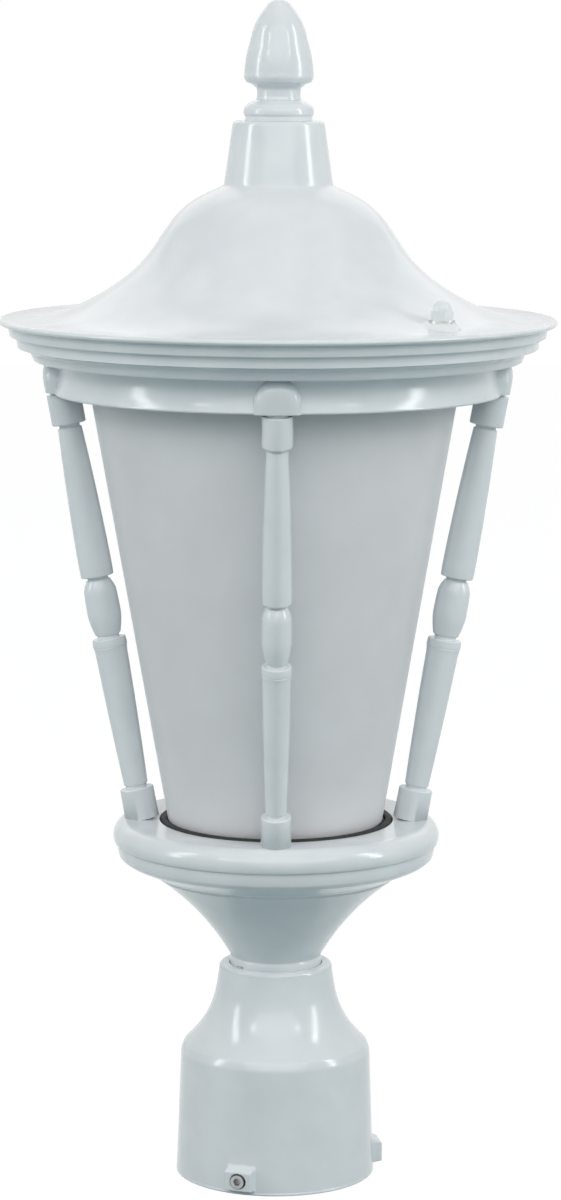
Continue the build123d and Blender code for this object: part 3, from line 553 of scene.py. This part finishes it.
def cornice():
    """Cornice ring: three mouldings, each under the last, over a hollow frieze; open below."""
    base = DECK_TOP - CORNICE_HEIGHT
    frieze_top = base + FRIEZE_HEIGHT
    inner = FRIEZE_HOLLOW_R - FRIEZE_WALL
    deck_foot = DECK_TOP - 4.2
    line = chain(
        (CORNICE_BORE_R, DECK_TOP, 0.3),
        (CORNICE_BORE_R, deck_foot, 0.5),
        (inner + 2.5, deck_foot, 1.0),
        (inner + 2.5, frieze_top, 0.8),
        (inner, frieze_top - 2.5, 0.8),
        (inner, base, 0.4),
        (FRIEZE_R, base, 0.6),
        (FRIEZE_R, base + 0.9, 0.4),
        (FRIEZE_HOLLOW_R, base + 6.6, 3.0, 0.3),
        (FRIEZE_HOLLOW_R + 0.1, frieze_top, 1.0, 0.2),
        (102.8, frieze_top, 0.4),
        (103.0, frieze_top + 0.6, 0.3),
        (103.9, frieze_top + 3.1, 0.4, -0.15),
        (104.1, frieze_top + 3.7, 0.4),
        (109.7, DECK_TOP - 9.2, 0.4, 0.6),
        (110.2, DECK_TOP - 5.2, 0.4, 0.3),
        (110.4, DECK_TOP - 4.6, 0.2),
        (112.6, DECK_TOP - 4.5, 0.3),
        (113.2, DECK_TOP, 0.4, -0.15),
    )
    return turned("cornice_ring", line, columns=360)


def knuckle(side, azimuth):
    """Boss over a spindle's head. Seen from the front it has a flat foot and a half round top;
    its face bulges as depth * (1 - share**3) ** (1/3), where share runs from the middle to the
    edge of that outline, and its sides run back into the frieze. The foot is cut level."""
    turn = np.linspace(0, pi, 41)
    edge_x = KNUCKLE_R * np.cos(turn)
    edge_z = KNUCKLE_STRAIGHT + KNUCKLE_R * np.sin(turn)
    drop = np.linspace(0, 1, 16)[1:]
    side_z = KNUCKLE_STRAIGHT + (KNUCKLE_FOOT - KNUCKLE_STRAIGHT) * drop
    left = np.stack([np.full_like(side_z, -KNUCKLE_R), side_z], axis=-1)
    across = np.linspace(-KNUCKLE_R, KNUCKLE_R, 30)[1:-1]
    under = np.stack([across, np.full_like(across, KNUCKLE_FOOT)], axis=-1)
    right = left[::-1] * [-1, 1]
    outline = np.concatenate([np.stack([edge_x, edge_z], axis=-1), left, under, right])
    count = len(outline)
    spine = np.stack([np.zeros(count), np.minimum(outline[:, 1], KNUCKLE_STRAIGHT)], axis=-1)
    rows = [np.c_[outline[:, 0], np.full(count, KNUCKLE_BACK), outline[:, 1]]]
    for share in np.sin(np.linspace(0, pi / 2, 26))[::-1]:
        flat = spine + (outline - spine) * share
        depth = KNUCKLE_DEPTH * (1 - share**3) ** (1 / 3)
        level = np.full(count, KNUCKLE_DEPTH - KNUCKLE_FACE - depth)
        rows.append(np.c_[flat[:, 0], level, flat[:, 1]])
    points = on_spindle(np.concatenate(rows), SPINDLE_LENGTH)
    points[:, 2] = np.maximum(points[:, 2], DECK_TOP - CORNICE_HEIGHT)
    faces = grid_faces(len(rows), count)[:, ::-1].tolist()
    faces.append(list(range(count)))
    return welded(add_mesh("knuckle_" + side, about_z(points, azimuth), faces))


# ---- spindles ---------------------------------------------------------------------------------
def spindle(side, azimuth):
    """Baluster: mitred foot collar, lower vase with a lip, tapered bead, upper vase and a head
    collar whose spigot enters the knuckle."""
    lower = COLLAR_LENGTH + NECK_GAP
    lip = lower + LOWER_VASE
    bead = lip + NECK_GAP
    upper = bead + BEAD_LENGTH + NECK_GAP
    head = SPINDLE_LENGTH - COLLAR_LENGTH
    tip = SPINDLE_LENGTH + 2.0
    line = chain(
        (0, 0),
        (7.3, 0, 0.2),
        (7.2, COLLAR_LENGTH, 0.7),
        (4.5, COLLAR_LENGTH, 0.3),
        (4.5, lower, 0.3),
        (5.1, lower + 0.3, 0.4),
        (6.9, lip - 5.2, 1.5, -0.2),
        (7.4, lip - 3.0, 0.8),
        (7.1, lip, 0.6),
        (4.6, lip, 0.3),
        (4.6, bead, 0.3),
        (5.4, bead + 0.3, 0.4),
        (7.2, bead + 14.5, 5.0, -0.7),
        (4.9, bead + BEAD_LENGTH, 0.5, -0.9),
        (4.4, bead + BEAD_LENGTH, 0.1),
        (4.4, upper, 0.3),
        (7.0, upper, 0.7),
        (7.1, upper + 5.0, 1.0),
        (5.1, head - NECK_GAP - 0.3, 0.4, -0.35),
        (4.4, head - NECK_GAP, 0.2),
        (4.4, head, 0.3),
        (7.25, head, 0.8),
        (7.25, SPINDLE_LENGTH, 0.5),
        (5.6, SPINDLE_LENGTH, 0.2),
        (5.6, tip),
        (0, tip),
        closed=False,
    )

    def place(points):
        """Oval across, foot cut level at the tray's top, then onto the leaning axis."""
        points = points * [SPINDLE_OVAL, 1, 1]
        mitre = -points[:, 1] * np.tan(SPINDLE_LEAN)
        points[:, 2] = np.maximum(points[:, 2], mitre)
        return about_z(on_spindle(points, 0), azimuth)

    return turned("baluster_" + side, line, columns=96, closed=False, place=place)


# ---- diffuser, gasket, tray and pedestal ------------------------------------------------------
LENS_FOOT_R = 45.7
LENS_TOP_R = 82.6
LENS_WALL = 2.6
LENS_MID = 100.0           # height of one more ring on the long cone
LENS_PLAY = (0.4, 1.6)     # how far foot and top stand left of the middle, as a loose shade does
TRAY_EDGE_R = 63.1         # of the centre of the tray's full round edge
TRAY_ROUND = 6.6           # and that edge's own radius


def lens():
    """Diffuser: conical shell with a rolled foot and a plain top edge, open at both ends. It is
    sheared left by its play, which grows evenly from foot to top."""
    slope = (LENS_TOP_R - LENS_FOOT_R) / (LENS_TOP - LENS_Z)
    inner_foot_r = LENS_FOOT_R - LENS_WALL
    line = chain(
        (inner_foot_r, LENS_Z, 0.3),
        (LENS_FOOT_R, LENS_Z, 1.6),
        (LENS_FOOT_R + slope * LENS_MID, LENS_Z + LENS_MID),
        (LENS_TOP_R, LENS_TOP, 0.4),
        (LENS_TOP_R - LENS_WALL, LENS_TOP, 0.4),
        (inner_foot_r + slope * 3, LENS_Z + 3, 0.5),
    )

    def place(points):
        """Each point moved left by the play at its height."""
        rise = (points[:, 2] - LENS_Z) / (LENS_TOP - LENS_Z)
        return points - np.outer(LENS_PLAY[0] + (LENS_PLAY[1] - LENS_PLAY[0]) * rise, [1, 0, 0])

    return turned("diffuser_shell", line, columns=240, place=place)


def lens_gasket():
    """Moulded seal: flat base under the diffuser and a rounded lip that shows round its foot."""
    low, top = LENS_Z - 1.7, top_of("lens_gasket")
    inner_r, outer_r = 43.6, 49.6
    line = chain(
        (inner_r, low),
        (outer_r, low),
        (outer_r, top, 0.8),
        (46.6, top, 0.8),
        (46.5, LENS_Z, 0.2),
        (inner_r, LENS_Z, 0.2),
    )
    return welded(turned("moulded_gasket", line, columns=200))


def tray():
    """Tray: full round edge, groove, convex lower band, coned underside; hollow below the top."""
    edge_z = TRAY_TOP - TRAY_ROUND
    turn = np.radians(np.linspace(-25, 90, 26))
    edge_r = TRAY_EDGE_R + TRAY_ROUND * np.cos(turn)
    edge = np.stack([edge_r, edge_z + TRAY_ROUND * np.sin(turn)], axis=-1)
    seat_r, seat_z = 49.9, TRAY_TOP - 2.6
    lip_r, ceiling_z = 43.3, TRAY_TOP - 5.6
    floor_top = TRAY_Z + 4.3
    below = chain(
        (WIRE_WAY_R, TRAY_Z, 0.3),
        (52.0, TRAY_Z, 0.3),
        (53.2, TRAY_Z + 0.9, 0.5),
        (64.9, TRAY_Z + 6.1, 0.8),
        (67.1, TRAY_Z + 7.9, 0.5),
        (67.8, TRAY_Z + 13.6, 0.8, -0.3),
        (67.0, TRAY_Z + 14.9, 0.4),
        (67.5, edge_z - 3.6, 0.3),
        tuple(edge[0]),
        closed=False,
    )
    above = chain(
        tuple(edge[-1]),
        (seat_r, TRAY_TOP, 0.3),
        (seat_r, seat_z, 0.1),
        (lip_r, seat_z, 0.3),
        (lip_r, ceiling_z, 0.3),
        (60.0, ceiling_z, 0.5),
        (62.0, TRAY_TOP - 7.6, 1.0),
        (62.0, TRAY_Z + 9.5, 1.0),
        (48.2, floor_top, 0.5),
        (WIRE_WAY_R, floor_top, 0.3),
        closed=False,
    )
    line = np.concatenate([below, edge[1:], above[1:]])
    return turned("drip_tray", line, columns=300)


def pedestal():
    """Bowl: rounded foot bead, hollow flare up to the tray, open inside above its floor."""
    floor_top, flange_foot = PEDESTAL_Z + 6.0, TRAY_Z - 5.0
    line = chain(
        (NIPPLE_HOLE_R, PEDESTAL_Z, 0.1),
        (19.6, PEDESTAL_Z, 1.2),
        (19.7, PEDESTAL_Z + 4.3, 1.3),
        (19.2, PEDESTAL_Z + 4.7, 0.3),
        (51.0, TRAY_Z - 1.0, 0.4, 2.6),
        (51.0, TRAY_Z, 0.2),
        (WIRE_WAY_R, TRAY_Z, 0.3),
        (WIRE_WAY_R, flange_foot, 0.3),
        (42.2, flange_foot, 1.0),
        (15.6, floor_top, 1.0, -2.6),
        (NIPPLE_HOLE_R, floor_top, 0.1),
    )
    return turned("pedestal_bowl", line, columns=240)


# ---- fitter -----------------------------------------------------------------------------------
BOSS_AZIMUTHS = {"front": -20.0, "right": 100.0, "rear": 220.0}
BOSS_WIDTH = 11.8
BOSS_FOOT = 2.2
BOSS_TOP = 12.6
BOSS_FACE_R = 46.2
BOSS_SLOPE = 2.6           # height over which the boss's top slopes
BOSS_HOLE_R = 40.5         # from the lantern's axis to the floor of a set screw's hole
SET_SCREW_R = 2.9
SET_SCREW_Z = BOSS_FOOT + (BOSS_TOP - BOSS_FOOT - BOSS_SLOPE) / 2 + 0.6
SKIRT_R = 42.7             # at the foot
SKIRT_TAPER = 0.0448       # inwards per height
SKIRT_BAND = (1.2, 16.0)   # heights between which the skirt's rings stand close
FITTER_FOOT_R = 42.65
STOP_Z = 50.0              # the ledge that the post's end meets
STOP_R = 36.15


def boss_pads(angle, r, z):
    """Pulls the fitter's skirt out to a flat pad at each set screw. The pad's face is flat, its
    top slopes like a sill, and it runs into the skirt through a small fillet. A round hole goes
    in at the screw."""
    skirt = r > POST_BORE_R + 1.2
    pad = r
    for azimuth in BOSS_AZIMUTHS.values():
        turn = (angle - radians(azimuth - 90) + pi) % (2 * pi) - pi
        across = r * np.sin(turn)
        face = BOSS_FACE_R / np.maximum(np.cos(turn), 0.5)
        sides = soft_step(BOSS_WIDTH / 2 - np.abs(across), 1.5)
        ends = soft_step(z - BOSS_FOOT, 0.8) * soft_step(BOSS_TOP - 1.0 - z, BOSS_SLOPE)
        hole = soft_step(np.hypot(across, z - SET_SCREW_Z) - SET_SCREW_R - 0.2, 0.5)
        out = r + (face - r) * sides * ends
        out = np.where(hole < 1, BOSS_HOLE_R + (out - BOSS_HOLE_R) * hole, out)
        pad = np.where(skirt & (np.abs(turn) < 0.3), out, pad)
    return pad, z


def fitter():
    """Post cap: tapered skirt, rounded shoulder, hollow bell flare and rolled collar, with the
    post's bore and its stop ledge inside."""
    crown = PEDESTAL_Z - 7.0
    rings = np.linspace(*SKIRT_BAND, 50)
    side = np.stack([SKIRT_R - SKIRT_TAPER * rings, rings], axis=-1)
    lower = chain(
        (POST_BORE_R, 0, 0.4),
        (FITTER_FOOT_R, 0, 0.6),
        (FITTER_FOOT_R, SKIRT_BAND[0]),
        closed=False,
    )
    upper = chain(
        tuple(side[-1]),
        (40.75, 51.6, 1.5),
        (40.1, 55.4, 1.7, -0.2),
        (38.2, 58.2, 1.5, -0.2),
        (25.3, 82.4, 4.0, 2.4),
        (24.2, 89.6, 1.0),
        (24.0, FITTER_TOP, 2.0),
        (19.9, FITTER_TOP, 0.5),
        (19.9, PEDESTAL_Z, 0.2),
        (NIPPLE_HOLE_R, PEDESTAL_Z, 0.2),
        (NIPPLE_HOLE_R, crown, 0.2),
        (21.0, crown, 0.5),
        (STOP_R, 55.0, 1.0, -2.0),
        (STOP_R, STOP_Z, 0.3),
        (POST_BORE_R, STOP_Z, 0.3),
        (POST_BORE_R, 1.0),
        closed=False,
    )
    line = np.concatenate([lower, side, upper[1:]])
    angles = dense_near(BOSS_AZIMUTHS.values(), spread=11.0, fine=0.22, coarse=1.5)
    return turned("fitter_casting", line, angles=angles, shift=boss_pads)


# ---- put the lantern together -----------------------------------------------------------------
finish_cad_nodes()
dress(roof(), "roof", "enamel", ENAMEL, "roof")
dress(finial_collar(), "finial_collar", "enamel", ENAMEL, "finial_collar")
dress(finial(), "finial", "enamel", ENAMEL, "finial")
dress(cornice(), "post_head", "enamel", ENAMEL, "cornice")
for side, azimuth in SPINDLE_AZIMUTHS.items():
    dress(knuckle(side, azimuth), "post_head", "enamel", ENAMEL)
    dress(spindle(side, azimuth), "post_head", "enamel", ENAMEL, "spindle_" + side)
dress(lens(), "diffuser", "diffuser", ACRYLIC, "lens")
dress(lens_gasket(), "post_head", "gasket", BLACK_RUBBER, "lens_gasket")
dress(tray(), "post_head", "enamel", ENAMEL, "tray")
dress(pedestal(), "post_head", "enamel", ENAMEL, "pedestal")
dress(fitter(), "post_head", "enamel", ENAMEL, "fitter")


# ---- studio -----------------------------------------------------------------------------------
FLOOR_METRES = 8           # length of its sides
FLOOR_WHITE = 0.9          # share of white where the floor shows as background
FLOOR_GLOW = 1.09          # strength of that white
FLOOR_PAPER = "#9BAEB1"    # the floor's own colour, which takes light and shadow
WORLD_FILL = 0.16          # strength of the even light from all round
# name, azimuth in degrees, height, distance, width and tallness in mm, power in watts
SOFTBOXES = (
    ("front_softbox", 0, 1500, 1900, 3000, 1300, 20.5),
    ("top_softbox", 0, 2200, 200, 3000, 2800, 8.2),
    ("left_strip", -75, 900, 1500, 220, 1150, 8.0),
    ("right_strip", 75, 900, 1500, 220, 1150, 9.6),
    ("left_spot", -41, 1150, 1500, 110, 220, 1.3),
    ("right_spot", 41, 1150, 1500, 110, 220, 1.1),
    ("back_softbox", 180, 1500, 1900, 3000, 1300, 5.5),
)


def background_rays(tree):
    """1 for the rays that show the background: those of the camera, of gloss and through glass."""
    rays = node(tree, "ShaderNodeLightPath")
    seen = rays.outputs["Is Camera Ray"]
    for kind in ("Is Glossy Ray", "Is Transmission Ray"):
        either = node(tree, "ShaderNodeMath", {"operation": "MAXIMUM"})
        tree.links.new(seen, either.inputs[0])
        tree.links.new(rays.outputs[kind], either.inputs[1])
        seen = either.outputs[0]
    return seen


def pale_floor():
    """Plain pale floor that shows as white but for the lantern's shadow."""
    bpy.ops.mesh.primitive_plane_add(size=FLOOR_METRES)
    floor = bpy.context.object
    floor.name = "floor"
    material = bpy.data.materials.new("pale_floor")
    material.use_nodes = True
    tree = material.node_tree
    tree.nodes.clear()
    share = node(tree, "ShaderNodeMath", {"operation": "MULTIPLY"})
    tree.links.new(background_rays(tree), share.inputs[0])
    share.inputs[1].default_value = FLOOR_WHITE
    paper = node(tree, "ShaderNodeBsdfDiffuse", {"Color": linear(FLOOR_PAPER)})
    white = node(tree, "ShaderNodeEmission", {"Color": (1, 1, 1, 1), "Strength": FLOOR_GLOW})
    mix = node(tree, "ShaderNodeMixShader")
    tree.links.new(share.outputs[0], mix.inputs[0])
    tree.links.new(paper.outputs[0], mix.inputs[1])
    tree.links.new(white.outputs[0], mix.inputs[2])
    out = node(tree, "ShaderNodeOutputMaterial")
    tree.links.new(mix.outputs[0], out.inputs["Surface"])
    floor.data.materials.append(material)


def white_world():
    """White round about for the camera and in reflections, and a weaker even fill."""
    world = bpy.data.worlds.new("studio")
    bpy.context.scene.world = world
    world.use_nodes = True
    tree = world.node_tree
    settings = {"To Min": WORLD_FILL, "To Max": 1.0}
    level = node(tree, "ShaderNodeMapRange", settings, Value=background_rays(tree))
    background = tree.nodes["Background"]
    background.inputs["Color"].default_value = (1, 1, 1, 1)
    tree.links.new(level.outputs["Result"], background.inputs["Strength"])


def softbox(name, azimuth, height, distance, width, tall, power):
    """Area light that faces the lantern's middle from an azimuth, height and distance in mm."""
    lamp = bpy.data.lights.new(name, "AREA")
    lamp.shape = "RECTANGLE"
    lamp.size, lamp.size_y = width * MM, tall * MM
    lamp.energy = power
    piece = bpy.data.objects.new(name, lamp)
    bpy.context.scene.collection.objects.link(piece)
    turn = radians(azimuth)
    place = np.array([distance * sin(turn), -distance * cos(turn), height]) * MM
    piece.location = place
    x, y, z = np.array([0, 0, CAMERA_AIM_Z * MM]) - place
    piece.rotation_euler = (atan2(hypot(x, y), -z), 0, atan2(y, x) - pi / 2)


def camera():
    """Camera at the photograph's angle: long lens, tilted slightly down and rolled a little."""
    data = bpy.data.cameras.new("camera")
    data.lens = CAMERA_LENS
    data.sensor_width = CAMERA_SENSOR
    data.clip_start, data.clip_end = 0.05, 50
    piece = bpy.data.objects.new("camera", data)
    bpy.context.scene.collection.objects.link(piece)
    tilt = radians(CAMERA_TILT)
    piece.location = (
        CAMERA_SIDE * MM,
        -CAMERA_DISTANCE * cos(tilt) * MM,
        (CAMERA_AIM_Z + CAMERA_DISTANCE * sin(tilt)) * MM,
    )
    tilted = Matrix.Rotation(pi / 2 - tilt, 3, "X")
    rolled = Matrix.Rotation(radians(CAMERA_ROLL), 3, "Z")
    piece.rotation_euler = (tilted @ rolled).to_euler()
    bpy.context.scene.camera = piece


pale_floor()
white_world()
for softbox_values in SOFTBOXES:
    softbox(*softbox_values)
camera()
bpy.context.scene.view_settings.view_transform = "Standard"
